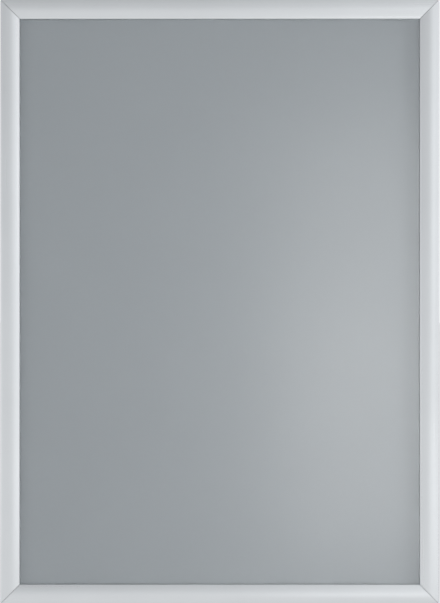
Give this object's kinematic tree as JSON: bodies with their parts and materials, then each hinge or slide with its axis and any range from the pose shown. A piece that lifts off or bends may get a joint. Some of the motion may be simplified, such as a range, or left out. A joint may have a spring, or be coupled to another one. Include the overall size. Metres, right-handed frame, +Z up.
{
  "type": "clip frame",
  "caption": "Upright poster frame whose four mitred, spring-held covers flip open on hinges to change the sheet behind a clear cover.",
  "frame": {"origin": "middle of the wall-screw pattern in the back plane, which is the middle of the frame's back", "axes": "+X to the right seen from the front, +Y towards the wall, +Z up; the front faces -Y"},
  "size_m": [0.53, 0.011, 0.73],
  "materials": {
    "cover_aluminium": "satin silver anodised",
    "rail_aluminium": "satin silver anodised",
    "key_steel": "zinc plated",
    "spring_steel": "blued spring steel",
    "grey_board": "matte grey polystyrene",
    "clear_plastic": "clear anti-glare plastic"
  },
  "bodies": {
    "frame": {"base_rail_left": "rail_aluminium", "base_rail_right": "rail_aluminium", "base_rail_top": "rail_aluminium", "base_rail_bottom": "rail_aluminium", "corner_key_top_left": "key_steel", "corner_key_top_right": "key_steel", "corner_key_bottom_left": "key_steel", "corner_key_bottom_right": "key_steel", "spring_left_1": "spring_steel", "spring_left_2": "spring_steel", "spring_left_3": "spring_steel", "spring_right_1": "spring_steel", "spring_right_2": "spring_steel", "spring_right_3": "spring_steel", "spring_top_1": "spring_steel", "spring_top_2": "spring_steel", "spring_bottom_1": "spring_steel", "spring_bottom_2": "spring_steel", "back_panel": "grey_board", "clear_sheet": "clear_plastic"},
    "cover_left": {"snap_cover_left": "cover_aluminium"},
    "cover_right": {"snap_cover_right": "cover_aluminium"},
    "cover_top": {"snap_cover_top": "cover_aluminium"},
    "cover_bottom": {"snap_cover_bottom": "cover_aluminium"}
  },
  "joints": [
    {"name": "flip_left", "type": "hinge", "parent": "frame", "child": "cover_left", "pos_m": [-0.2627, -0.00663, 0], "axis": [0, 0, -1], "range_deg": [0, 90], "deforming": ["spring_left_1", "spring_left_2", "spring_left_3"]},
    {"name": "flip_right", "type": "hinge", "parent": "frame", "child": "cover_right", "pos_m": [0.2627, -0.00663, 0], "axis": [0, 0, 1], "range_deg": [0, 90], "deforming": ["spring_right_1", "spring_right_2", "spring_right_3"]},
    {"name": "flip_top", "type": "hinge", "parent": "frame", "child": "cover_top", "pos_m": [0, -0.00663, 0.3627], "axis": [-1, 0, 0], "range_deg": [0, 90], "deforming": ["spring_top_1", "spring_top_2"]},
    {"name": "flip_bottom", "type": "hinge", "parent": "frame", "child": "cover_bottom", "pos_m": [0, -0.00663, -0.3627], "axis": [1, 0, 0], "range_deg": [0, 90], "deforming": ["spring_bottom_1", "spring_bottom_2"]}
  ]
}
